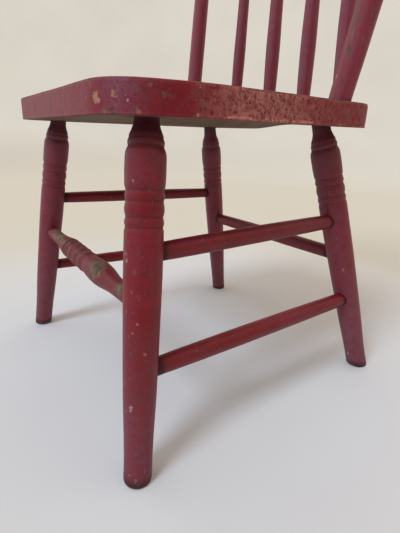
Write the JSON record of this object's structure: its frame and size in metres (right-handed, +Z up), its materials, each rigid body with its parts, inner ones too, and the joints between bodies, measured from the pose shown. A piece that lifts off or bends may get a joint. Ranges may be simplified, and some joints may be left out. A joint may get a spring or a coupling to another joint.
{
  "type": "spindle-back doll chair",
  "caption": "Small painted wooden chair with a plank seat, splayed turned legs joined by stretchers, and a fanned spindle back under a bent crest rail.",
  "frame": {"origin": "on the floor under the middle of the chair", "axes": "+Z up; the sitter faces -Y and the sitter's left hand is at +X"},
  "size_m": [0.16, 0.1485, 0.2955],
  "materials": {
    "seat_paint": "worn red paint over wood, satin, bare underneath",
    "turning_paint": "worn red paint over wood, satin",
    "back_paint": "worn red paint over wood, satin"
  },
  "bodies": {
    "root": {"seat": "seat_paint", "front_left_leg": "turning_paint", "front_right_leg": "turning_paint", "rear_left_leg": "turning_paint", "rear_right_leg": "turning_paint", "left_upper_stretcher": "turning_paint", "left_lower_stretcher": "turning_paint", "right_upper_stretcher": "turning_paint", "right_lower_stretcher": "turning_paint", "front_stretcher": "turning_paint", "rear_stretcher": "turning_paint", "left_back_post": "back_paint", "right_back_post": "back_paint", "left_outer_spindle": "back_paint", "left_inner_spindle": "back_paint", "right_inner_spindle": "back_paint", "right_outer_spindle": "back_paint", "crest_rail": "back_paint"}
  },
  "joints": []
}
